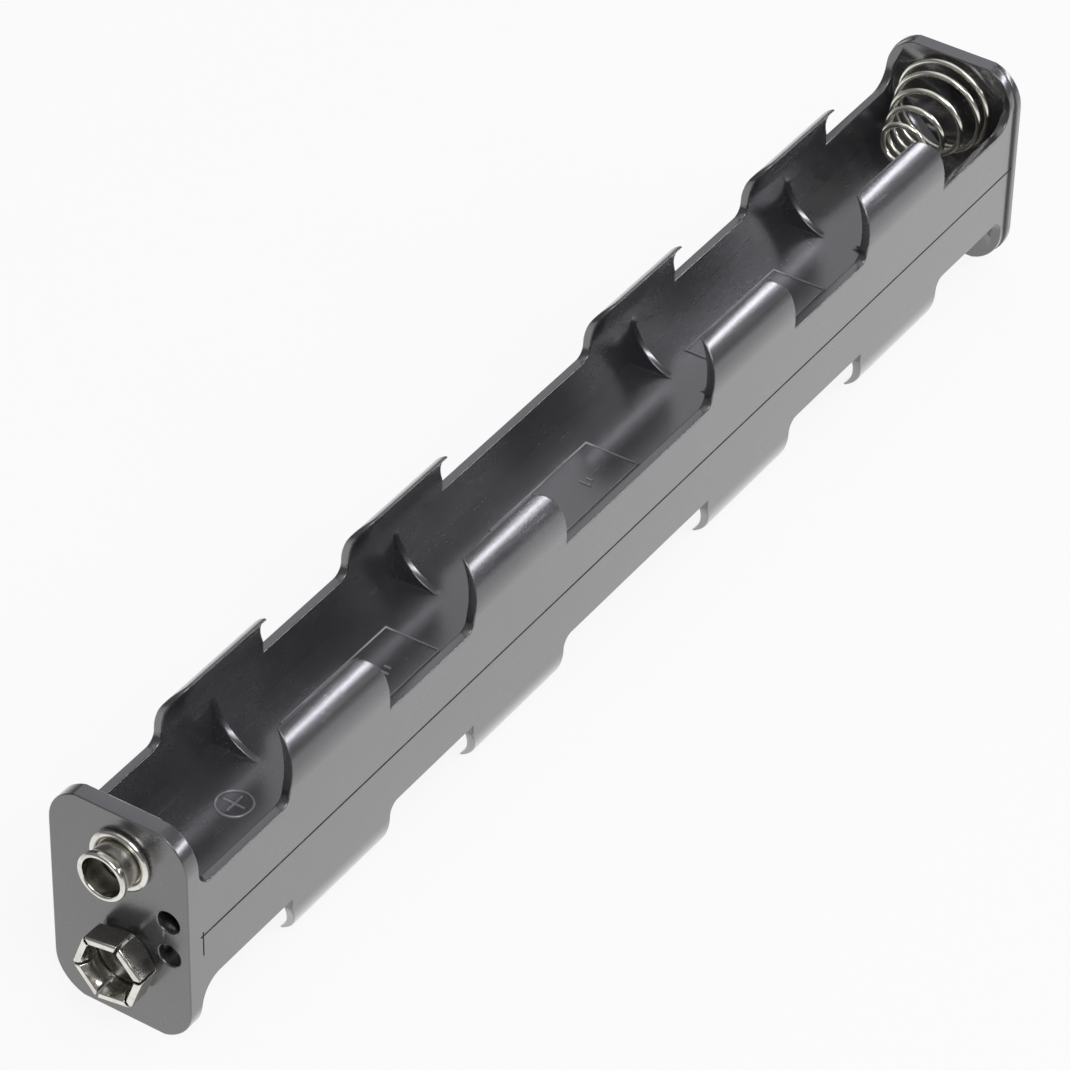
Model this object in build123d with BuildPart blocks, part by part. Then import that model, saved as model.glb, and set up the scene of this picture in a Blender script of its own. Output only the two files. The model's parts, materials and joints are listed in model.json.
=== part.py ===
from build123d import *
from math import cos, pi, radians, sin
import os

# Back-to-back battery holder for three AA cells in a row on each side, six cells in all.
# One moulded body has an open tray on top and the same tray, turned over, underneath.
# X runs along the cells from the snap end to the far end, Z is up and the trays share a web.
# The origin is below the middle of the holder. All sizes are in millimetres.

# Cells
cell_diameter = 14.5
cell_length = 50.5
cells_in_row = 3
cell_play = 0.3  # gap between a cell and both walls together
spring_room = 8.5  # what is left of the inner length for spring and contact

# Moulded body
wall = 1.1  # side walls
web = 1.5  # floor shared by the two trays
plate = 2.0  # end plates
holder_height = 27.0  # end plates, from lower to upper edge
wall_edge = 6.6  # edge of the side walls, from the middle of the web
corner_radius = 4.8  # end plate corners
corner_over = 0.2  # the corners' own top lies this far past the plate's flat edge
flange_step = 0.35  # the far plate's outer part stands this far proud of the walls
flange_depth = 0.9  # thickness of that part
rise_at_spring = 3.0  # fillet of the wall edge up to the plate beside a spring
rise_at_contact = 1.8  # and at the other end of the tray

# Clips, four on each wall of each tray
clip_length = 17.5
clip_pitches = (32.7, 46.4, 33.0)
clip_drop = 0.05  # the tips stay this far inside the end plates' edges
clip_reach = 2.85  # the tips lean in this far from the outside of the wall
clip_tip = 0.35  # thickness of the tip
clip_corner = 3.0  # radius of the rounded corner
clip_lean = 2.1  # the pointed corner leans back this far

# Cradle ribs in the corners of floor and wall
rib = 0.9
rib_play = 0.2  # gap between cell and rib

# Snap terminals
snap_pitch = 12.95
snap_side = 0.55  # both snaps sit this far from the middle, towards the near wall
sheet = 0.3  # sheet metal of stud and socket
stud_height = 3.6
stud_rim_radius = 2.9
stud_neck_radius = 2.6
stud_flange_radius = 3.6
stud_bead = 0.42  # radius of the rolled flange bead
stud_land = 0.4  # straight part of the rim
socket_height = 3.3
socket_across = 7.6  # outside, across the flats
socket_throat = 2.85  # radius inside the leaves
socket_mouth = 0.5  # from the throat out to the six-sided mouth
socket_funnel = 0.9  # depth of the mouth, down to the throat
socket_lip = 1.6  # depth of the leaves' inner lip
socket_foot = 0.7  # height of the closed foot below the slits
socket_slit = 0.35
socket_turn = -10  # degrees
lead_hole_radius = 1.35
lead_hole_side = 6.0  # from the middle of the plate
lead_hole_pitch = 4.4

# Eyelets, contacts and the bridge strap
shank_radius = 1.5
shank_play = 0.1
eyelet_sheet = 0.25
eyelet_head_radius = 2.1
socket_head_radius = 2.9  # the head inside the socket is wider
contact_sheet = 0.4
contact_width = 9.0
contact_length = 10.0
contact_corner = 1.5
pad_radius = 3.2
pad_rise = 0.5
strap_sheet = 0.4
strap_width = 4.6

# Springs, measured to the middle of the wire
wire = 0.7
wire_play = 0.15
spring_base_radius = 5.8
spring_play = 0.1  # between the widest turn and the floor
spring_tip_radius = 2.45
spring_free_length = 11.6
turns_at_base = 0.9
turns_between = 3.6
turns_at_tip = 0.9
closed_pitch = 0.85
points_per_turn = 14
seat_play = 0.03
hook_play = 0.1
wire_head_radius = 0.8
tail_bend = 0.6

# Derived sizes
width = cell_diameter + cell_play + 2 * wall
inner_width = width - 2 * wall
inner_length = cells_in_row * cell_length + spring_room
body_length = inner_length + 2 * plate
axis_rise = web / 2 + cell_diameter / 2
spring_rise = web / 2 + spring_play + wire / 2 + spring_base_radius
reach_far = strap_sheet + eyelet_sheet
reach_near = max(stud_height, socket_height)
overall_length = reach_near + body_length + reach_far
x_near = reach_near - overall_length / 2
x_inner_near = x_near + plate
x_far = x_near + body_length
x_inner_far = x_far - plate
x_middle = (x_near + x_far) / 2
mid_z = holder_height / 2
top_axis = mid_z + axis_rise
low_axis = mid_z - axis_rise
socket_axis = top_axis - snap_pitch
top_spring = mid_z + spring_rise
low_spring = mid_z - spring_rise
tail_z = top_spring - spring_base_radius
hole_radius = shank_radius + shank_play
wire_hole_radius = wire / 2 + wire_play
clip_top = holder_height / 2 - clip_drop
half_clip = clip_length / 2
clip_centres = []
clip_x = x_middle - sum(clip_pitches) / 2
for pitch in (*clip_pitches, 0):
    clip_centres.append(clip_x)
    clip_x = clip_x + pitch

# Clip: a crescent in section, thick at the wall and thin at the tip, as it stands on the far wall.
# X is measured from the clip's own middle and Z from the middle of the web.
clip_foot = wall_edge - wall
clip_rise = clip_top - axis_rise
clip_root = axis_rise - wall_edge  # fillet from the wall's edge up to where the clip starts to curl
outer_tip = width / 2 - clip_reach
outer_curve = (clip_reach**2 + clip_rise**2) / (2 * clip_reach)
inner_tip = outer_tip - clip_tip
inner_reach = inner_width / 2 - inner_tip
inner_curve = (inner_reach**2 + clip_rise**2) / (2 * inner_reach)
with BuildPart() as clip:
    with BuildSketch(Plane.YZ):
        with BuildLine():
            Polyline(
                (inner_width / 2, axis_rise),
                (inner_width / 2, clip_foot),
                (width / 2, clip_foot),
                (width / 2, axis_rise),
            )
            RadiusArc((width / 2, axis_rise), (outer_tip, clip_top), -outer_curve)
            Line((outer_tip, clip_top), (inner_tip, clip_top))
            RadiusArc((inner_tip, clip_top), (inner_width / 2, axis_rise), inner_curve)
        make_face()
    extrude(amount=half_clip, both=True)
    with BuildSketch(Plane.XZ):
        with BuildLine():
            Polyline(
                (clip_corner - half_clip, clip_top),
                (half_clip - clip_lean, clip_top),
                (half_clip, wall_edge + clip_root),
                (half_clip, clip_foot),
                (-half_clip, clip_foot),
                (-half_clip, clip_top - clip_corner),
            )
            RadiusArc(
                (-half_clip, clip_top - clip_corner), (clip_corner - half_clip, clip_top), clip_corner
            )
        make_face()
    extrude(amount=width, both=True, mode=Mode.INTERSECT)

# Root: the concave gusset where the far wall's edge turns up into a clip, from the clip's end.
with BuildPart() as root:
    with BuildSketch(Plane.XZ.offset(-width / 2)):
        with Locations((-clip_root / 2, wall_edge + clip_root / 2)):
            Rectangle(clip_root, clip_root)
        with Locations((-clip_root, wall_edge + clip_root)):
            Circle(clip_root, mode=Mode.SUBTRACT)
    extrude(amount=wall)

# Cradle: two thin ribs across the corners of floor and wall, hollowed to the cell.
with BuildPart() as cradle:
    with BuildSketch(Plane.YZ):
        with Locations((0, axis_rise / 2)):
            Rectangle(inner_width, axis_rise)
        with Locations((0, axis_rise)):
            Circle(cell_diameter / 2 + rib_play, mode=Mode.SUBTRACT)
    extrude(amount=rib / 2, both=True)

# Rises: the wall edges turn up to the end plates, most where a spring sits, and keep within the
# plates' outline.
with BuildPart() as rises:
    for x_plate, into, rise_above, rise_below in (
        (x_inner_near, 1, rise_at_contact, rise_at_spring),
        (x_inner_far, -1, rise_at_spring, rise_at_contact),
    ):
        for up, rise in ((1, rise_above), (-1, rise_below)):
            for side in (-width / 2, width / 2 - wall):
                with BuildSketch(Plane.XZ.offset(side)):
                    with Locations((x_plate + into * rise / 2, mid_z + up * (wall_edge + rise / 2))):
                        Rectangle(rise, rise)
                    with Locations((x_plate + into * rise, mid_z + up * (wall_edge + rise))):
                        Circle(rise, mode=Mode.SUBTRACT)
                extrude(amount=wall)
    with BuildSketch(Plane.YZ.offset(x_near)):
        with Locations((0, mid_z)):
            RectangleRounded(width, holder_height + 2 * corner_over, corner_radius)
    extrude(amount=body_length, mode=Mode.INTERSECT)

# Body: web, side walls, clips, ribs and end plates in one moulding.
with BuildPart() as body:
    with BuildSketch(Plane.YZ.offset(x_near)):
        with Locations((0, mid_z)):
            Rectangle(width, 2 * wall_edge)
        tray_depth = wall_edge - web / 2
        tray_middle = wall_edge - tray_depth / 2
        with Locations((0, mid_z + tray_middle), (0, mid_z - tray_middle)):
            Rectangle(inner_width, tray_depth, mode=Mode.SUBTRACT)
    extrude(amount=body_length)
    for clip_x in clip_centres:
        with Locations(Location((clip_x, 0, mid_z)), Location((clip_x, 0, mid_z), (0, 0, 180))):
            add(clip.part)
        with Locations((clip_x, 0, mid_z)):
            add(cradle.part)
    mirror(about=Plane.XY.offset(mid_z))
    for clip_x in clip_centres:
        for side in (0, wall - width):
            with Locations(
                Location((clip_x - half_clip, side, mid_z)),
                Location((clip_x + half_clip, side, mid_z), (0, 180, 0)),
            ):
                add(root.part)

    add(rises.part)

    # End plates
    with BuildSketch(Plane.YZ.offset(x_near)):
        with Locations((0, mid_z)):
            RectangleRounded(width, holder_height + 2 * corner_over, corner_radius)
            Rectangle(width, holder_height, mode=Mode.INTERSECT)
    extrude(amount=plate)
    for step, depth in ((0, plate), (flange_step, flange_depth)):
        with BuildSketch(Plane.YZ.offset(x_far)):
            with Locations((0, mid_z)):
                RectangleRounded(width + 2 * step, holder_height + 2 * corner_over, corner_radius + step)
                Rectangle(width + 2 * step, holder_height, mode=Mode.INTERSECT)
        extrude(amount=-depth)

    # Holes for the eyelets, the two leads and the spring's tail
    with Locations(
        Location((x_near, -snap_side, top_axis), (0, 90, 0)),
        Location((x_near, -snap_side, socket_axis), (0, 90, 0)),
    ):
        Hole(hole_radius, depth=plate)
    lead_rise = lead_hole_pitch / 2
    with Locations(
        Location((x_near, -lead_hole_side, mid_z + lead_rise), (0, 90, 0)),
        Location((x_near, -lead_hole_side, mid_z - lead_rise), (0, 90, 0)),
    ):
        Hole(lead_hole_radius, depth=plate)
    with Locations(Location((x_inner_far, 0, low_axis), (0, 90, 0))):
        Hole(hole_radius, depth=plate)
    with Locations(Location((x_inner_far, 0, tail_z), (0, 90, 0))):
        Hole(wire_hole_radius, depth=plate)

# Male stud: a drawn cup with a rolled rim and a rolled flange, turned about its own axis.
stud_bore_radius = stud_neck_radius - sheet
bead_radius = stud_flange_radius - stud_bead
x_stud = x_near - stud_height
with BuildPart() as male_stud:
    with BuildSketch(Plane.XZ.offset(snap_side)):
        with BuildLine():
            Polyline(
                (x_near, top_axis + hole_radius),
                (x_near, top_axis + bead_radius),
                (x_near - sheet, top_axis + bead_radius),
                (x_near - sheet, top_axis + stud_neck_radius),
                (x_stud + 3 * sheet + stud_land, top_axis + stud_neck_radius),
                (x_stud + sheet + stud_land, top_axis + stud_rim_radius),
                (x_stud + sheet, top_axis + stud_rim_radius),
            )
            front = (x_stud, top_axis + stud_rim_radius - sheet)
            bore_edge = (x_stud + sheet, top_axis + stud_bore_radius)
            RadiusArc((x_stud + sheet, top_axis + stud_rim_radius), front, -sheet)
            RadiusArc(front, bore_edge, -sheet)
            Polyline(
                bore_edge,
                (x_near - sheet, top_axis + stud_bore_radius),
                (x_near - sheet, top_axis + hole_radius),
                (x_near, top_axis + hole_radius),
            )
        make_face()
        with Locations((x_near - stud_bead, top_axis + bead_radius)):
            Circle(stud_bead)
    revolve(axis=Axis((0, -snap_side, top_axis), (1, 0, 0)))

# Female socket: a six-sided cup whose walls roll over at the front and turn back as a round lip,
# slit at its corners into six leaves that spring apart for a stud.
leaf_out = socket_across / 2
cup_radius = leaf_out - sheet
socket_face = x_near - socket_height
with BuildPart() as female_socket:
    with BuildSketch(Plane.YZ.offset(x_near)):
        with Locations((-snap_side, socket_axis)):
            Circle(cup_radius)
    with BuildSketch(Plane.YZ.offset(x_near - socket_foot)):
        with Locations((-snap_side, socket_axis)):
            RegularPolygon(leaf_out, 6, major_radius=False, rotation=socket_turn)
    loft()
    with BuildSketch(Plane.YZ.offset(x_near - socket_foot)):
        with Locations((-snap_side, socket_axis)):
            RegularPolygon(leaf_out, 6, major_radius=False, rotation=socket_turn)
    extrude(amount=socket_foot - socket_height)
    fillet(faces().sort_by(Axis.X)[0].edges(), radius=sheet)
    with BuildSketch(Plane.YZ.offset(x_near - sheet)):
        with Locations((-snap_side, socket_axis)):
            Circle(cup_radius - sheet)
    with BuildSketch(Plane.YZ.offset(socket_face + sheet)):
        with Locations((-snap_side, socket_axis)):
            RegularPolygon(leaf_out - sheet, 6, major_radius=False, rotation=socket_turn)
    loft(mode=Mode.SUBTRACT)
    with BuildSketch(Plane.YZ.offset(socket_face)):
        with Locations((-snap_side, socket_axis)):
            Circle(socket_throat + socket_mouth)
    extrude(amount=socket_lip)
    with BuildSketch(Plane.YZ.offset(socket_face)):
        with Locations((-snap_side, socket_axis)):
            RegularPolygon(socket_throat + socket_mouth / 2, 6, major_radius=False, rotation=socket_turn)
    with BuildSketch(Plane.YZ.offset(socket_face + socket_funnel)):
        with Locations((-snap_side, socket_axis)):
            Circle(socket_throat)
    loft(mode=Mode.SUBTRACT)
    with BuildSketch(Plane.YZ.offset(socket_face)):
        with Locations((-snap_side, socket_axis)):
            Circle(socket_throat)
    extrude(amount=socket_height - sheet, mode=Mode.SUBTRACT)
    with BuildSketch(Plane.YZ.offset(x_near)):
        with Locations((-snap_side, socket_axis)):
            Circle(hole_radius)
    extrude(amount=-socket_height, mode=Mode.SUBTRACT)
    for turn in range(3):
        with BuildSketch(Plane.YZ.offset(socket_face)):
            with Locations(Location((-snap_side, socket_axis, 0), (0, 0, 60 * turn + socket_turn))):
                Rectangle(3 * leaf_out, socket_slit)
        extrude(amount=socket_height - socket_foot, mode=Mode.SUBTRACT)

# Contact: nickelled sheet with a raised pad, as it lies on a plate whose inner face is at X = 0.
with BuildPart() as contact:
    with BuildSketch(Plane.YZ):
        RectangleRounded(contact_width, contact_length, contact_corner)
        Circle(pad_radius, mode=Mode.SUBTRACT)
    extrude(amount=contact_sheet)
    with BuildSketch(Plane.XZ):
        with BuildLine():
            Polyline(
                (pad_rise, hole_radius),
                (pad_rise, pad_radius - pad_rise),
                (0, pad_radius),
                (0, pad_radius + contact_sheet),
                (contact_sheet, pad_radius + contact_sheet),
                (contact_sheet, pad_radius),
                (pad_rise + contact_sheet, pad_radius - pad_rise),
                (pad_rise + contact_sheet, hole_radius),
                close=True,
            )
        make_face()
    revolve(axis=Axis.X)

with BuildPart() as contact_near:
    with Locations((x_inner_near, -snap_side, top_axis)):
        add(contact.part)

with BuildPart() as contact_far:
    with Locations(Location((x_inner_far, 0, low_axis), (0, 0, 180))):
        add(contact.part)

# Bridge strap across the outside of the far plate, from the spring's tail to the lower contact
strap_over = strap_width / 2
strap_high = tail_z + strap_over
strap_low = low_axis - strap_over
with BuildPart() as bridge_strap:
    with BuildSketch(Plane.YZ.offset(x_far)):
        with Locations((0, (strap_high + strap_low) / 2)):
            RectangleRounded(strap_width, strap_high - strap_low, strap_width / 3)
        with Locations((0, low_axis)):
            Circle(hole_radius, mode=Mode.SUBTRACT)
        with Locations((0, tail_z)):
            Circle(wire_hole_radius, mode=Mode.SUBTRACT)
    extrude(amount=strap_sheet)

# Eyelets: hollow rivets with a head at each end. Each row gives the outer face, the face that the
# inner head lies on, the outer head's radius and the place of the axis.
pad_top = pad_rise + contact_sheet
eyelets = []
for x_head, x_clinch, head_radius, axis_y, axis_z in (
    (x_near - sheet, x_inner_near + pad_top, eyelet_head_radius, -snap_side, top_axis),
    (x_near - sheet, x_inner_near + wire + 2 * seat_play, socket_head_radius, -snap_side, socket_axis),
    (x_far + strap_sheet, x_inner_far - pad_top, eyelet_head_radius, 0, low_axis),
):
    outward = 1 if x_head > x_clinch else -1
    with BuildPart() as eyelet:
        with BuildSketch(Plane.YZ.offset(x_head)):
            with Locations((axis_y, axis_z)):
                Circle(head_radius)
        extrude(amount=outward * eyelet_sheet)
        with BuildSketch(Plane.YZ.offset(x_clinch)):
            with Locations((axis_y, axis_z)):
                Circle(eyelet_head_radius)
        extrude(amount=-outward * eyelet_sheet)
        with BuildSketch(Plane.YZ.offset(x_clinch)):
            with Locations((axis_y, axis_z)):
                Circle(shank_radius)
        extrude(amount=x_head - x_clinch)
        with BuildSketch(Plane.YZ.offset(x_clinch - outward * eyelet_sheet)):
            with Locations((axis_y, axis_z)):
                Circle(shank_radius - eyelet_sheet)
        extrude(amount=x_head - x_clinch + 2 * outward * eyelet_sheet, mode=Mode.SUBTRACT)
    eyelets.append(eyelet)
stud_eyelet, socket_eyelet, far_eyelet = eyelets


# Springs: right-handed, closed at both ends and conical between, wide at the plate.
def coil_points(x_face, into, axis_z, start):
    """Points along the wire from the base, where it lies at the angle start, to the tip."""
    climb = spring_free_length - wire - closed_pitch * (turns_at_base + turns_at_tip)
    points = []
    for i in range(int(points_per_turn * (turns_at_base + turns_between + turns_at_tip)) + 1):
        turn = i / points_per_turn
        between = min(max(turn - turns_at_base, 0), turns_between)
        share = between / turns_between
        radius = spring_base_radius + (spring_tip_radius - spring_base_radius) * share
        rise = wire / 2 + seat_play + closed_pitch * (turn - between) + climb * share
        angle = radians(start) + into * 2 * pi * turn
        points.append((x_face + into * rise, radius * cos(angle), axis_z + radius * sin(angle)))
    return points


# The near spring's wire starts as a hook round the socket's eyelet, under its inner head, and
# winds out to the widest turn.
x_hook = x_inner_near + wire / 2 + seat_play
hook_inside = shank_radius + hook_play + wire / 2
hook_outside = spring_base_radius - (socket_axis - low_spring)
hook_points = []
for angle in range(-230, 90, 20):
    share = min(1, (90 - angle) / 180)
    ease = (1 + cos(pi * share)) / 2
    hook_radius = hook_inside + (hook_outside - hook_inside) * ease
    y_hook = hook_radius * cos(radians(angle)) - snap_side
    hook_points.append((x_hook, y_hook, socket_axis + hook_radius * sin(radians(angle))))
with BuildPart() as spring_near:
    with BuildLine() as near_wire:
        Spline(*hook_points, *coil_points(x_inner_near, 1, low_spring, 90))
    with BuildSketch(Plane(origin=near_wire.line @ 0, z_dir=near_wire.line % 0)):
        Circle(wire / 2)
    sweep()

# The far spring's wire starts as a tail through the strap and the plate, headed over outside, and
# bends into the widest turn.
x_base = x_inner_far - wire / 2 - seat_play
coil = coil_points(x_inner_far, -1, top_spring, -90)
bend_start = (x_base + tail_bend, 0, tail_z)
bend_end = (x_base, -tail_bend, tail_z)
tip_heading = Vector(coil[-1]) - Vector(coil[-2])
with BuildPart() as spring_far:
    with BuildLine() as far_wire:
        Line((x_far + strap_sheet, 0, tail_z), bend_start)
        TangentArc(bend_start, bend_end, tangent=(-1, 0, 0))
        Spline(bend_end, *coil[1:], tangents=((0, -1, 0), tip_heading.normalized()))
    with BuildSketch(Plane(origin=far_wire.line @ 0, z_dir=far_wire.line % 0)):
        Circle(wire / 2)
    sweep()
    with BuildSketch(Plane.YZ.offset(x_far + strap_sheet)):
        with Locations((0, tail_z)):
            Circle(wire_head_radius)
    extrude(amount=eyelet_sheet)

# Hand over the finished pieces, one file each.
os.makedirs("parts", exist_ok=True)
for name, piece in (
    ("body", body),
    ("male_stud", male_stud),
    ("stud_eyelet", stud_eyelet),
    ("female_socket", female_socket),
    ("socket_eyelet", socket_eyelet),
    ("contact_near", contact_near),
    ("contact_far", contact_far),
    ("spring_near", spring_near),
    ("spring_far", spring_far),
    ("far_eyelet", far_eyelet),
    ("bridge_strap", bridge_strap),
):
    piece.part.label = name
    export_step(piece.part, f"parts/{name}.step")
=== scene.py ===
import json
from math import cos, pi, radians, sin

import bmesh
import bpy
from mathutils import Matrix, Vector


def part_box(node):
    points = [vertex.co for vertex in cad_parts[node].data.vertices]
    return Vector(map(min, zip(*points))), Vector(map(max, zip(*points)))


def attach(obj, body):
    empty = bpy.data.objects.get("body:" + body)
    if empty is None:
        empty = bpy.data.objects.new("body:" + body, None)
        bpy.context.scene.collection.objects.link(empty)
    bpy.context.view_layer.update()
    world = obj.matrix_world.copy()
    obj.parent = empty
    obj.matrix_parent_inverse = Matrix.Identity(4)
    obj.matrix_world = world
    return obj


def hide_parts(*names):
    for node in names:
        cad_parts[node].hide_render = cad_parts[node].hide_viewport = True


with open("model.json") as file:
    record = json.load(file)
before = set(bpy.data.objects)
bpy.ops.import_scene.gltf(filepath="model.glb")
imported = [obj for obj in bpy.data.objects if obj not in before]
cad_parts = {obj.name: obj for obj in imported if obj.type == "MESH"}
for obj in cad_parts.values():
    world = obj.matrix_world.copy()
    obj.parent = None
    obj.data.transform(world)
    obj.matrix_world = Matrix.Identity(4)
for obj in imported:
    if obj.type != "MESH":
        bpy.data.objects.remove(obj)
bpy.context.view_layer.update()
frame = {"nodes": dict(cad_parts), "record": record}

# Battery holder for three AA cells on each side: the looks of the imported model.
# Everything is in metres, in the model's own frame: X along the cells, Z up, standing on Z = 0.

mm = 0.001

# Camera, at the photograph's angle
camera_place = Vector((-382.99, -242.52, 373.31)) * mm
camera_azimuth = radians(32.77)
camera_elevation = radians(38.82)
camera_roll = radians(1.284)
camera_lens = 178.83
camera_sensor = 36.0

# Sizes of the moulding that the marks and lines follow, as the model has them
web = 1.5 * mm
plate = 2.0 * mm
flange_step = 0.35 * mm
flange_depth = 0.9 * mm
snap_side = 0.55 * mm
ridge_width = 0.3 * mm
ridge_height = 0.16 * mm
ridge_sides = 10
parting_width = 0.22 * mm
parting_height = 0.05 * mm
tear_width = 0.16 * mm
tear_behind_plate = 0.35 * mm
tear_levels = (0.5 * mm, -0.4 * mm, -1.5 * mm, -2.6 * mm)

# Rounded copies of nodes: their radii, which edges are rounded and which stay sharp, and how the
# triangles are joined first
edge_radius = 0.15 * mm
lip_radius = 0.08 * mm
outer_corner = radians(40)
inner_corner = radians(-30)
merge_distance = 0.01 * mm
flat_angle = radians(0.05)

# Springs, measured to the middle of the wire, as the model has them, where the tip ends a little
# short of its last turn
wire = 0.7 * mm
wire_sides = 16
spring_base_radius = 5.8 * mm
spring_tip_radius = 2.45 * mm
spring_free_length = 11.6 * mm
spring_rise = 7.0 * mm
closed_pitch = 0.85 * mm
seat_play = 0.03 * mm
turns_at_base = 0.9
turns_between = 3.6
turns_at_tip = 0.9
steps_per_turn = 56
coil_steps = 300
hook_inside = 1.95 * mm
hook_angles = range(-230, 76, 4)
tail_bend = 0.6 * mm
tail_bend_steps = 6
strap_sheet = 0.4 * mm
head_depth = 0.25 * mm

# The wire's thickness in wires where it is more or less than one: at the cut ends, and at the
# far spring's head, where each is given with its place outside the strap in head depths
cut_end = [0.35, 0.85]
head_places = [1.0, 0.8, 0.4, 0.0, -0.04]
head_thickness = [1.5, 2.05, 2.286, 2.286, 1.0]

# Marks on the tray floors, from the near plate's front face and the middle of the tray
plus_place = 19.2 * mm
plus_radius = 2.0 * mm
plus_arm = 0.68 * plus_radius
plus_ring_steps = 40
outline_ends = (50.9 * mm, 89.5 * mm, 129.0 * mm)
outline_length = 18.9 * mm
outline_half = 3.4 * mm
minus_bars = ((6.2 * mm, 0.75 * mm), (5.3 * mm, 0.4 * mm))
minus_side = 0.55 * mm

# Places read from the model
body_low, body_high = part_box("body")
mid_z = (body_low.z + body_high.z) / 2
x_near = body_low.x
x_far = body_high.x
x_middle = (x_near + x_far) / 2
upper_floor = mid_z + web / 2
stud_low, stud_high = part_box("male_stud")
stud_z = (stud_low.z + stud_high.z) / 2
socket_low, socket_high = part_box("female_socket")
socket_z = (socket_low.z + socket_high.z) / 2
terminal_front = stud_low.x

# Parts of the snap terminals left out of the painted shade: the front, and the stud's flange between
# two radii
unshaded_front = (0.5 * mm, 1.3 * mm)
unshaded_flange = (2.75 * mm, 4.2 * mm)

# Lamps, and the floor, which fades in reflections away from the part
lamp_distance = 0.8
lamp_tint = (0.93, 0.92, 1.0)
floor_half = 3.0
floor_fade_across = (0.032, 0.10)
floor_fade_along = (-0.11, -0.06)


# Shader helpers


class Signal:
    """A value from a node's socket, with arithmetic that adds the Math nodes."""

    def __init__(self, graph, socket):
        self.graph = graph
        self.socket = socket

    def maths(self, operation, *others):
        inputs = dict(enumerate((self, *others)))
        return self.graph.node("ShaderNodeMath", {"operation": operation}, inputs)

    def __add__(self, other):
        return self.maths("ADD", other)

    __radd__ = __add__

    def __mul__(self, other):
        return self.maths("MULTIPLY", other)

    __rmul__ = __mul__

    def __sub__(self, other):
        return self.maths("SUBTRACT", other)

    def __rsub__(self, other):
        inputs = {0: other, 1: self}
        return self.graph.node("ShaderNodeMath", {"operation": "SUBTRACT"}, inputs)

    def above(self, level):
        """1 above that level and 0 below it."""
        return self.maths("GREATER_THAN", level)

    def ramp(self, low, high):
        """0 below low, 1 above high and smooth between."""
        settings = {"interpolation_type": "SMOOTHSTEP"}
        inputs = {"Value": self, "From Min": low, "From Max": high}
        return self.graph.node("ShaderNodeMapRange", settings, inputs)


class Graph:
    """A node tree and the one method that adds nodes to it."""

    def __init__(self, tree):
        self.tree = tree
        self.tree.nodes.clear()

    def node(self, kind, settings=None, inputs=None, output=0):
        """Adds a node of that kind with its settings and inputs, and gives one of its outputs."""
        made = self.tree.nodes.new(kind)
        for name, value in (settings or {}).items():
            setattr(made, name, value)
        for name, value in (inputs or {}).items():
            if isinstance(value, Signal):
                self.tree.links.new(value.socket, made.inputs[name])
            else:
                made.inputs[name].default_value = value
        return Signal(self, made.outputs[output]) if made.outputs else None


class Finish(Graph):
    """A material and its node tree."""

    def __init__(self, name):
        self.material = bpy.data.materials.new(name)
        self.material.use_nodes = True
        super().__init__(self.material.node_tree)

    def place(self, stretch=(1, 1, 1), turn=(0, 0, 0)):
        """Object coordinates, stretched and turned."""
        where = self.node("ShaderNodeTexCoord", output="Object")
        inputs = {"Vector": where, "Scale": stretch, "Rotation": turn}
        return self.node("ShaderNodeMapping", inputs=inputs)

    def part(self, axis):
        """One of the object coordinates, X, Y or Z."""
        return self.node("ShaderNodeSeparateXYZ", inputs={"Vector": self.place()}, output=axis)

    def noise(self, grain, detail=2.0, stretch=(1, 1, 1), turn=(0, 0, 0)):
        """Noise from 0 to 1 with features of about that size, in metres."""
        inputs = {"Vector": self.place(stretch, turn), "Scale": 1 / grain, "Detail": detail}
        return self.node("ShaderNodeTexNoise", inputs=inputs)

    def blend(self, share, first, second):
        """A colour, from first where share is 0 to second where it is 1."""
        inputs = {"Factor": share, 6: first, 7: second}
        return self.node("ShaderNodeMix", {"data_type": "RGBA"}, inputs, output=2)

    def bump(self, height, depth, strength=1.0):
        """A Normal from that height, which runs over that depth in metres."""
        inputs = {"Height": height, "Distance": depth, "Strength": strength}
        return self.node("ShaderNodeBump", inputs=inputs)

    def surface(self, **sockets):
        """Ends the tree in a Principled shader with these sockets."""
        names = {name.replace("_", " "): value for name, value in sockets.items()}
        shader = self.node("ShaderNodeBsdfPrincipled", inputs=names)
        self.node("ShaderNodeOutputMaterial", inputs={"Surface": shader})
        return self.material


def grey(level, tint=(1.0, 1.0, 1.0)):
    """A colour of that level, tinted by those shares of red, green and blue."""
    return (*(level * part for part in tint), 1.0)


# Finishes

cool = (1, 0.98, 1.04)
warm = (1, 0.97, 0.84)


def make_plastic(name, dark, light):
    """Satin moulded plastic with faint scuffs along the cells and a little dust."""
    finish = Finish(name)
    grain = finish.noise(0.3 * mm, 2.0)
    cloud = finish.noise(9 * mm, 2.0)
    scuffs = finish.noise(0.35 * mm, 1.0, stretch=(0.06, 1, 1), turn=(0, 0, radians(4)))
    marks = scuffs.ramp(0.66, 0.74) * cloud.ramp(0.42, 0.62)
    dark_tone = grey(dark, (1, 0.98, 1.06))
    light_tone = grey(light, (1, 0.98, 1.08))
    colour = finish.blend(cloud.ramp(0.3, 0.7), dark_tone, light_tone)
    colour = finish.blend(marks * 0.2, colour, grey(0.08, cool))
    roughness = 0.24 + (cloud - 0.5) * 0.10 + (grain - 0.5) * 0.14 + marks * 0.12
    return finish.surface(
        Base_Color=colour,
        Roughness=roughness,
        IOR=1.62,
        Specular_IOR_Level=1.0,
        Coat_Weight=1.0,
        Coat_IOR=1.55,
        Coat_Roughness=0.2,
        Normal=finish.bump(grain, 0.003 * mm, 0.5),
    )


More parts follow.
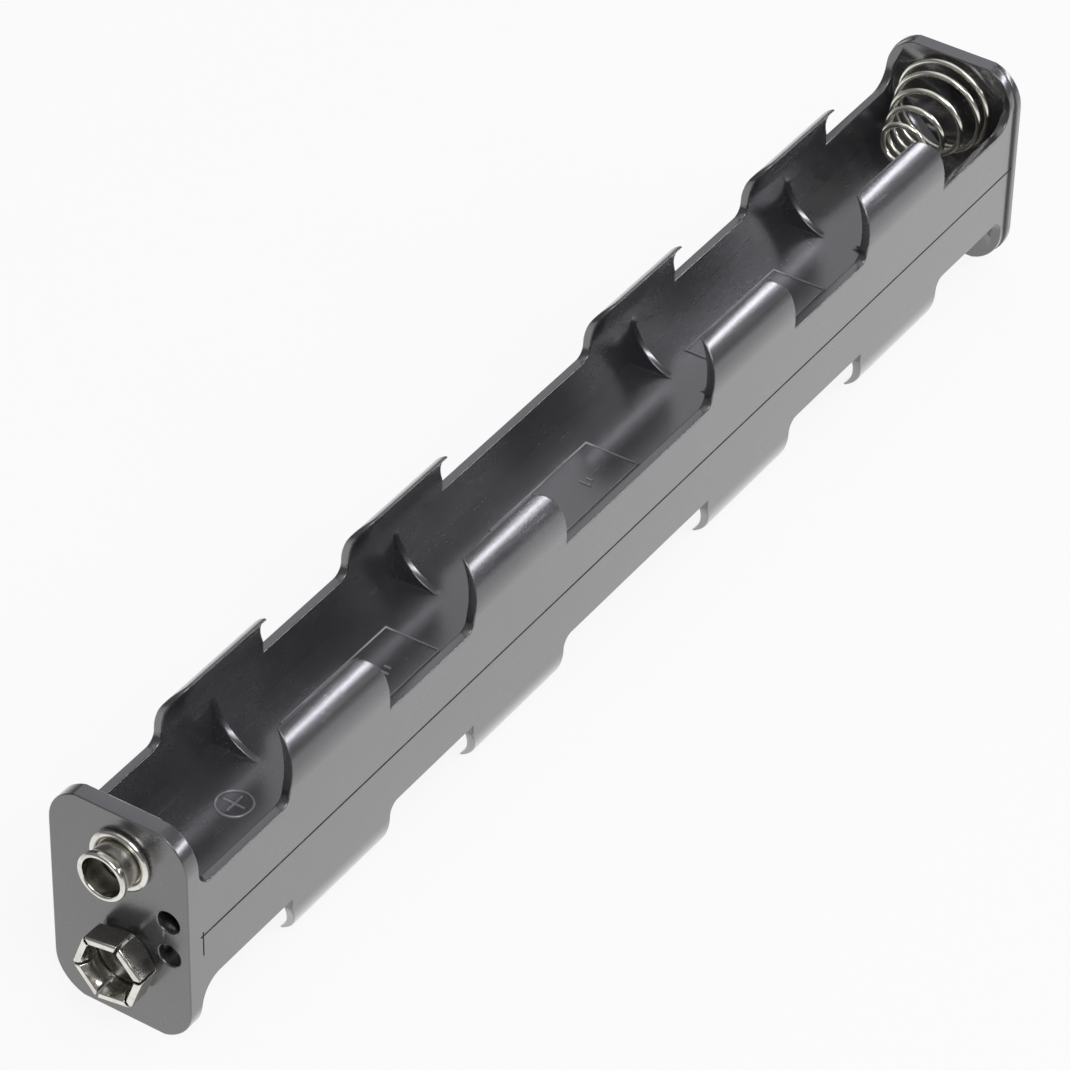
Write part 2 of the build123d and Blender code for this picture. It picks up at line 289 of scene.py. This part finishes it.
def make_seam_shade():
    """Painted shade for the crease where the two mould halves met: a matte dark colour, lighter with
    dust in places.
    """
    finish = Finish("seam_plastic")
    dust = finish.noise(1.5 * mm, 3.0)
    return finish.surface(
        Base_Color=finish.blend(dust.ramp(0.45, 0.7), grey(0.025, cool), grey(0.07, cool)),
        Roughness=0.75 + (dust - 0.5) * 0.2,
        Specular_IOR_Level=0.2,
    )


def make_nickel(name, terminals):
    """Bright nickel plate on drawn sheet, with faint drawing lines and handling haze.

    On the snap terminals a painted shade darkens the plate in the bores, round the stud's neck and
    towards the end plate, where it is rougher too; only the lips and the stud's flange are left out of
    it.
    """
    finish = Finish(name)
    haze = finish.noise(1.2 * mm, 3.0)
    lines = finish.noise(0.12 * mm, 2.0, stretch=(1, 0.3, 0.3))
    bright = grey(0.84, (1, 0.98, 0.92))
    hazy = grey(0.72, (1, 0.97, 0.89))
    colour = finish.blend(haze.ramp(0.35, 0.7), bright, hazy)
    roughness = 0.14 + haze.ramp(0.45, 0.75) * 0.10 + (lines - 0.5) * 0.06
    # On the terminals a painted shade darkens the plate behind the front, except on the flange, and
    # makes it rougher there as well
    if terminals:
        along = finish.part("X")
        from_stud_axis = finish.node(
            "ShaderNodeVectorMath",
            {"operation": "MULTIPLY_ADD"},
            {0: finish.place(), 1: (0, 1, 1), 2: (0, snap_side, -stud_z)},
        )
        reach = finish.node(
            "ShaderNodeVectorMath", {"operation": "LENGTH"}, {0: from_stud_axis}, output="Value"
        )
        inner, outer = unshaded_flange
        flange = reach.above(inner) * (1.0 - reach.above(outer))
        painted_shade_and_dulling = (along - terminal_front).ramp(*unshaded_front) * (1.0 - flange)
        colour = finish.blend(painted_shade_and_dulling * 0.6, colour, grey(0.26, warm))
        roughness = roughness + painted_shade_and_dulling * 0.14
    relief = finish.bump(lines, 0.004 * mm, 0.4)
    return finish.surface(Base_Color=colour, Metallic=1.0, Roughness=roughness, Normal=relief)


def make_spring_wire():
    """Drawn spring wire with a thin nickel plate."""
    finish = Finish("spring_wire")
    haze = finish.noise(2.5 * mm, 2.0)
    colour = finish.blend(haze.ramp(0.35, 0.7), grey(0.95, (1, 0.98, 0.88)), grey(0.85, warm))
    roughness = 0.2 + haze.ramp(0.4, 0.75) * 0.08
    relief = finish.bump(finish.noise(0.2 * mm, 1.0), 0.001 * mm, 0.3)
    return finish.surface(Base_Color=colour, Metallic=1.0, Roughness=roughness, Normal=relief)


black_plastic = make_plastic("black_plastic", 0.028, 0.040)
# The floor marks' plastic: a far lighter colour than the body, a painted highlight for the light the
# raised lines catch
rubbed_plastic = make_plastic("rubbed_plastic", 0.2, 0.27)
seam_plastic = make_seam_shade()
nickel = make_nickel("nickel_plate", False)
terminal_nickel = make_nickel("terminal_nickel", True)
spring_wire = make_spring_wire()


def dress(node, material):
    """Gives a node of the model its material."""
    mesh = frame["nodes"][node].data
    mesh.materials.clear()
    mesh.materials.append(material)


finishes = {"black_plastic": black_plastic, "nickel_plate": nickel, "spring_wire": spring_wire}
for part in frame["record"]["subparts"]:
    dress(part["node"], finishes[part["material_slot"]])
# The snap terminals' nickel, with painted shade in its recesses
for node in ("male_stud", "stud_eyelet", "socket_eyelet"):
    dress(node, terminal_nickel)


# Pieces


class Shaper(Graph):
    """A geometry node tree with one geometry in and one out, and named inputs for its sizes."""

    def __init__(self, name):
        super().__init__(bpy.data.node_groups.new(name, "GeometryNodeTree"))
        for way in ("INPUT", "OUTPUT"):
            self.tree.interface.new_socket("Geometry", in_out=way, socket_type="NodeSocketGeometry")
        self.start = self.node("NodeGroupInput").socket.node
        self.values = {}

    def source(self):
        """The geometry that comes in."""
        return Signal(self, self.start.outputs["Geometry"])

    def size(self, name, value):
        """A named input for a length, with its value."""
        socket = self.tree.interface.new_socket(name, in_out="INPUT", socket_type="NodeSocketFloat")
        self.values[socket.identifier] = value
        return Signal(self, self.start.outputs[name])

    def finish(self, geometry, material):
        """Ends the tree with that geometry in that material."""
        real = self.node("GeometryNodeRealizeInstances", inputs={"Geometry": geometry})
        inputs = {"Geometry": real, "Material": material}
        dressed = self.node("GeometryNodeSetMaterial", inputs=inputs)
        self.node("NodeGroupOutput", inputs={"Geometry": dressed})

    def apply(self, name, mesh):
        """A new object with the tree's result from that mesh."""
        source = bpy.data.objects.new(name + "_source", mesh)
        bpy.context.scene.collection.objects.link(source)
        modifier = source.modifiers.new("shape", "NODES")
        modifier.node_group = self.tree
        for identifier, value in self.values.items():
            modifier[identifier] = value
        return settle(name, source)


def settle(name, source):
    """A plain object with the evaluated mesh of that object, which is then removed."""
    bpy.context.view_layer.update()
    evaluated = source.evaluated_get(bpy.context.evaluated_depsgraph_get())
    mesh = bpy.data.meshes.new_from_object(evaluated)
    bpy.data.objects.remove(source)
    mesh.name = name
    piece = bpy.data.objects.new(name, mesh)
    bpy.context.scene.collection.objects.link(piece)
    return piece


def make_rounded(name, node, radius, material):
    """A node's shape with small radii on its sharp outer edges; the inner corners stay sharp."""
    shape = bmesh.new()
    shape.from_mesh(frame["nodes"][node].data)
    bmesh.ops.remove_doubles(shape, verts=shape.verts, dist=merge_distance)
    bmesh.ops.dissolve_limit(shape, angle_limit=flat_angle, verts=shape.verts, edges=shape.edges)
    rounded = shape.edges.layers.float.new("bevel_weight_edge")
    for edge in shape.edges:
        turn = edge.calc_face_angle_signed(0)
        edge[rounded] = 1.0 if turn > outer_corner else 0.0
        edge.smooth = turn > inner_corner
    for face in shape.faces:
        face.smooth = True
    mesh = bpy.data.meshes.new(name + "_source")
    shape.to_mesh(mesh)
    shape.free()
    mesh.materials.append(material)
    source = bpy.data.objects.new(name + "_source", mesh)
    bpy.context.scene.collection.objects.link(source)
    bevel = source.modifiers.new("radii", "BEVEL")
    bevel.width = radius
    bevel.segments = 2
    bevel.limit_method = "WEIGHT"
    bevel.use_clamp_overlap = False
    source.modifiers.new("even_shading", "WEIGHTED_NORMAL").keep_sharp = True
    piece = settle(name, source)
    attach(piece, "root")
    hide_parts(node)


def make_ridges(name, paths, width, height, material):
    """Raised lines of a half sunk oval section along those paths.

    Each path is a list of points, and True where it is closed.
    """
    mesh = bpy.data.meshes.new(name + "_paths")
    points, edges = [], []
    for path, closed in paths:
        first = len(points)
        points += path
        edges += [(first + step, first + step + 1) for step in range(len(path) - 1)]
        if closed:
            edges.append((len(points) - 1, first))
    mesh.from_pydata(points, edges, [])
    shape = Shaper(name)
    wide, high = shape.size("Width", width), shape.size("Height", height)
    lines = shape.node("GeometryNodeMeshToCurve", inputs={"Mesh": shape.source()})
    lines = shape.node("GeometryNodeSetCurveNormal", {"mode": "Z_UP"}, {"Curve": lines})
    ring = shape.node(
        "GeometryNodeCurvePrimitiveCircle", inputs={"Resolution": ridge_sides, "Radius": 0.5}
    )
    spread = shape.node("ShaderNodeCombineXYZ", inputs={"X": wide, "Y": high * 2, "Z": 1.0})
    section = shape.node("GeometryNodeTransform", inputs={"Geometry": ring, "Scale": spread})
    ridges = shape.node(
        "GeometryNodeCurveToMesh", inputs={"Curve": lines, "Profile Curve": section, "Fill Caps": True}
    )
    shape.finish(ridges, material)
    piece = shape.apply(name, mesh)
    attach(piece, "root")


def turned_over(path):
    """The same points in the lower tray, half a turn about the cross axis through the middle."""
    return [(2 * x_middle - x, y, 2 * mid_z - z) for x, y, z in path]


def coil_path(face, into, axis_z, start):
    """Points along a spring's wire from its base on that face to its tip.

    It leaves the base at the angle start, in degrees, and runs along X by the sign of into.
    """
    climb = spring_free_length - wire - closed_pitch * (turns_at_base + turns_at_tip)
    path = []
    for step in range(coil_steps + 1):
        turn = step / steps_per_turn
        between = min(max(turn - turns_at_base, 0), turns_between)
        share = between / turns_between
        radius = spring_base_radius + (spring_tip_radius - spring_base_radius) * share
        rise = wire / 2 + seat_play + closed_pitch * (turn - between) + climb * share
        angle = radians(start) + into * 2 * pi * turn
        path.append((face + into * rise, radius * cos(angle), axis_z + radius * sin(angle)))
    return path


def make_spring(name, node, path, start):
    """A spring's round wire along that path, where start gives the first points' thickness."""
    middle = len(path) - len(start) - len(cut_end)
    thickness = start + [1.0] * middle + cut_end[::-1]
    mesh = bpy.data.meshes.new(name + "_path")
    mesh.from_pydata(path, [(step, step + 1) for step in range(len(path) - 1)], [])
    mesh.attributes.new("thickness", "FLOAT", "POINT").data.foreach_set("value", thickness)
    shape = Shaper(name)
    gauge = shape.size("Wire", wire)
    line = shape.node("GeometryNodeMeshToCurve", inputs={"Mesh": shape.source()})
    ring = shape.node(
        "GeometryNodeCurvePrimitiveCircle", inputs={"Resolution": wire_sides, "Radius": gauge * 0.5}
    )
    share = shape.node(
        "GeometryNodeInputNamedAttribute", {"data_type": "FLOAT"}, {"Name": "thickness"}
    )
    wound = shape.node(
        "GeometryNodeCurveToMesh",
        inputs={"Curve": line, "Profile Curve": ring, "Scale": share, "Fill Caps": True},
    )
    smooth = shape.node("GeometryNodeSetShadeSmooth", inputs={"Geometry": wound})
    shape.finish(smooth, spring_wire)
    piece = shape.apply(name, mesh)
    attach(piece, "root")
    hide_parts(node)


def make_far_spring():
    """The upper tray's spring, from the head on the bridge strap through the plate to its tip.

    The bend behind the plate takes the place of the coil's first two points.
    """
    face = x_far - plate
    axis_z = mid_z + spring_rise
    tail_z = axis_z - spring_base_radius
    base = face - wire / 2 - seat_play
    outside = x_far + strap_sheet
    path = [(outside + place * head_depth, 0, tail_z) for place in head_places]
    for step in range(tail_bend_steps + 1):
        turn = pi / 2 * step / tail_bend_steps
        path.append((base + tail_bend * (1 - sin(turn)), tail_bend * (cos(turn) - 1), tail_z))
    path += coil_path(face, -1, axis_z, -90)[2:]
    make_spring("far_spring", "spring_far", path, head_thickness)


def make_near_spring():
    """The lower tray's spring, from its hook round the socket's eyelet to its tip."""
    face = x_near + plate
    axis_z = mid_z - spring_rise
    hook_outside = spring_base_radius - (socket_z - axis_z)
    path = []
    for angle in hook_angles:
        ease = (1 + cos(pi * min(1, (90 - angle) / 180))) / 2
        radius = hook_inside + (hook_outside - hook_inside) * ease
        across = radius * cos(radians(angle)) - snap_side
        path.append((face + wire / 2 + seat_play, across, socket_z + radius * sin(radians(angle))))
    path += coil_path(face, 1, axis_z, 90)
    make_spring("near_spring", "spring_near", path, cut_end)


def make_floor_marks():
    """The plus sign in its ring and the three cell outlines on each tray floor."""
    centre = x_near + plus_place
    turns = [2 * pi * step / plus_ring_steps for step in range(plus_ring_steps)]
    ring = [(centre + plus_radius * cos(turn), plus_radius * sin(turn)) for turn in turns]
    flat = [
        (ring, True),
        ([(centre - plus_arm, 0), (centre + plus_arm, 0)], False),
        ([(centre, -plus_arm), (centre, plus_arm)], False),
    ]
    for end in outline_ends:
        far = x_near + end
        near = far - outline_length
        side = outline_half
        flat.append(([(near, side), (far, side), (far, -side), (near, -side)], True))
        for back, half in minus_bars:
            flat.append(([(far - back, y - minus_side) for y in (half, -half)], False))
    paths = [([(x, y, upper_floor) for x, y in line], closed) for line, closed in flat]
    paths += [(turned_over(path), closed) for path, closed in paths]
    # The marks take the lighter plastic, a painted highlight on the raised lines
    make_ridges("floor_marks", paths, ridge_width, ridge_height, rubbed_plastic)


def make_parting_line():
    """The seam of the mould halves along both side walls, and its torn start by the near plate, both
    in painted shade.

    The line's section stands on its side, so its width there is the ridge's height.
    """
    sides = (body_low.y + flange_step, body_high.y - flange_step)
    start, end = x_near + plate, x_far - flange_depth
    paths = [([(start, y, mid_z), (end, y, mid_z)], False) for y in sides]
    make_ridges("parting_line", paths, 2 * parting_height, parting_width / 2, seam_plastic)
    tear = [(start + tear_behind_plate, sides[0], mid_z + level) for level in tear_levels]
    make_ridges("parting_tear", [(tear, False)], tear_width, parting_height, seam_plastic)


make_rounded("moulded_body", "body", edge_radius, black_plastic)
# The socket's nickel has painted shade in its bores and behind its lips
make_rounded("snap_socket", "female_socket", lip_radius, terminal_nickel)
make_far_spring()
make_near_spring()
make_floor_marks()
make_parting_line()

# Stage


def make_camera():
    """The camera, which looks down along the cells and is rolled a little."""
    flat = Vector((cos(camera_azimuth), sin(camera_azimuth), 0))
    view = flat * cos(camera_elevation) - Vector((0, 0, sin(camera_elevation)))
    level = Vector((sin(camera_azimuth), -cos(camera_azimuth), 0))
    right = Matrix.Rotation(-camera_roll, 3, view) @ level
    up = right.cross(view)
    data = bpy.data.cameras.new("camera")
    data.lens = camera_lens
    data.sensor_width = camera_sensor
    data.clip_start = 0.01
    camera = bpy.data.objects.new("camera", data)
    turned = Matrix((right, up, -view)).transposed().to_4x4()
    camera.matrix_world = Matrix.Translation(camera_place) @ turned
    bpy.context.scene.collection.objects.link(camera)
    bpy.context.scene.camera = camera


def make_floor():
    """A pale floor with a soft shadow, almost white to the camera and bright in reflections."""
    finish = Finish("pale_floor")
    seen = finish.node("ShaderNodeLightPath", output="Is Camera Ray")
    mirrored = finish.node("ShaderNodeLightPath", output="Is Glossy Ray")
    near = 1.0 - finish.part("Y").maths("ABSOLUTE").ramp(*floor_fade_across) * 0.8
    near = near * (0.74 + finish.part("X").ramp(*floor_fade_along) * 0.26)
    lit = finish.node("ShaderNodeBsdfDiffuse", inputs={"Color": grey(0.82)})
    white = finish.node("ShaderNodeEmission", inputs={"Color": grey(1.0), "Strength": 1.0})
    share = seen * 0.9 + mirrored * near
    mixed = finish.node("ShaderNodeMixShader", inputs={0: share, 1: lit, 2: white})
    finish.node("ShaderNodeOutputMaterial", inputs={"Surface": mixed})
    mesh = bpy.data.meshes.new("floor")
    half = floor_half
    corners = [(-half, -half, 0), (half, -half, 0), (half, half, 0), (-half, half, 0)]
    mesh.from_pydata(corners, [], [(0, 1, 2, 3)])
    mesh.materials.append(finish.material)
    floor = bpy.data.objects.new("floor", mesh)
    bpy.context.scene.collection.objects.link(floor)


def make_world():
    """White to the camera, and a dim room to everything else."""
    world = bpy.data.worlds.new("room")
    world.use_nodes = True
    graph = Graph(world.node_tree)
    seen = graph.node("ShaderNodeLightPath", output="Is Camera Ray")
    way = graph.node("ShaderNodeTexCoord", output="Generated")
    up = graph.node("ShaderNodeSeparateXYZ", inputs={"Vector": way}, output="Z")
    level = 0.19 + up.ramp(0.7, 1.0) * 0.6
    room = graph.node("ShaderNodeBackground", inputs={"Color": grey(1.0), "Strength": level})
    white = graph.node("ShaderNodeBackground", inputs={"Color": grey(1.0)})
    mixed = graph.node("ShaderNodeMixShader", inputs={0: seen, 1: room, 2: white})
    graph.node("ShaderNodeOutputWorld", inputs={"Surface": mixed})
    bpy.context.scene.world = world


def make_softbox(name, towards, size, power):
    """An area lamp of that size and power in watts, in that direction from the holder's middle."""
    direction = Vector(towards).normalized()
    data = bpy.data.lights.new(name, "AREA")
    data.shape = "RECTANGLE"
    data.size, data.size_y = size
    data.energy = power
    data.color = lamp_tint
    lamp = bpy.data.objects.new(name, data)
    lamp.location = Vector((x_middle, 0, mid_z)) + direction * lamp_distance
    lamp.rotation_euler = direction.to_track_quat("Z", "Y").to_euler()
    bpy.context.scene.collection.objects.link(lamp)


make_camera()
make_floor()
make_world()
make_softbox("softbox_back", (0.655, -0.627, 0.46), (0.9, 0.08), 2.4)
make_softbox("softbox_front", (-0.35, -0.5, 0.8), (0.35, 0.35), 2.6)
make_softbox("softbox_far", (0.655, 0.422, 0.627), (0.5, 0.4), 0.32)
bpy.context.scene.view_settings.view_transform = "Standard"
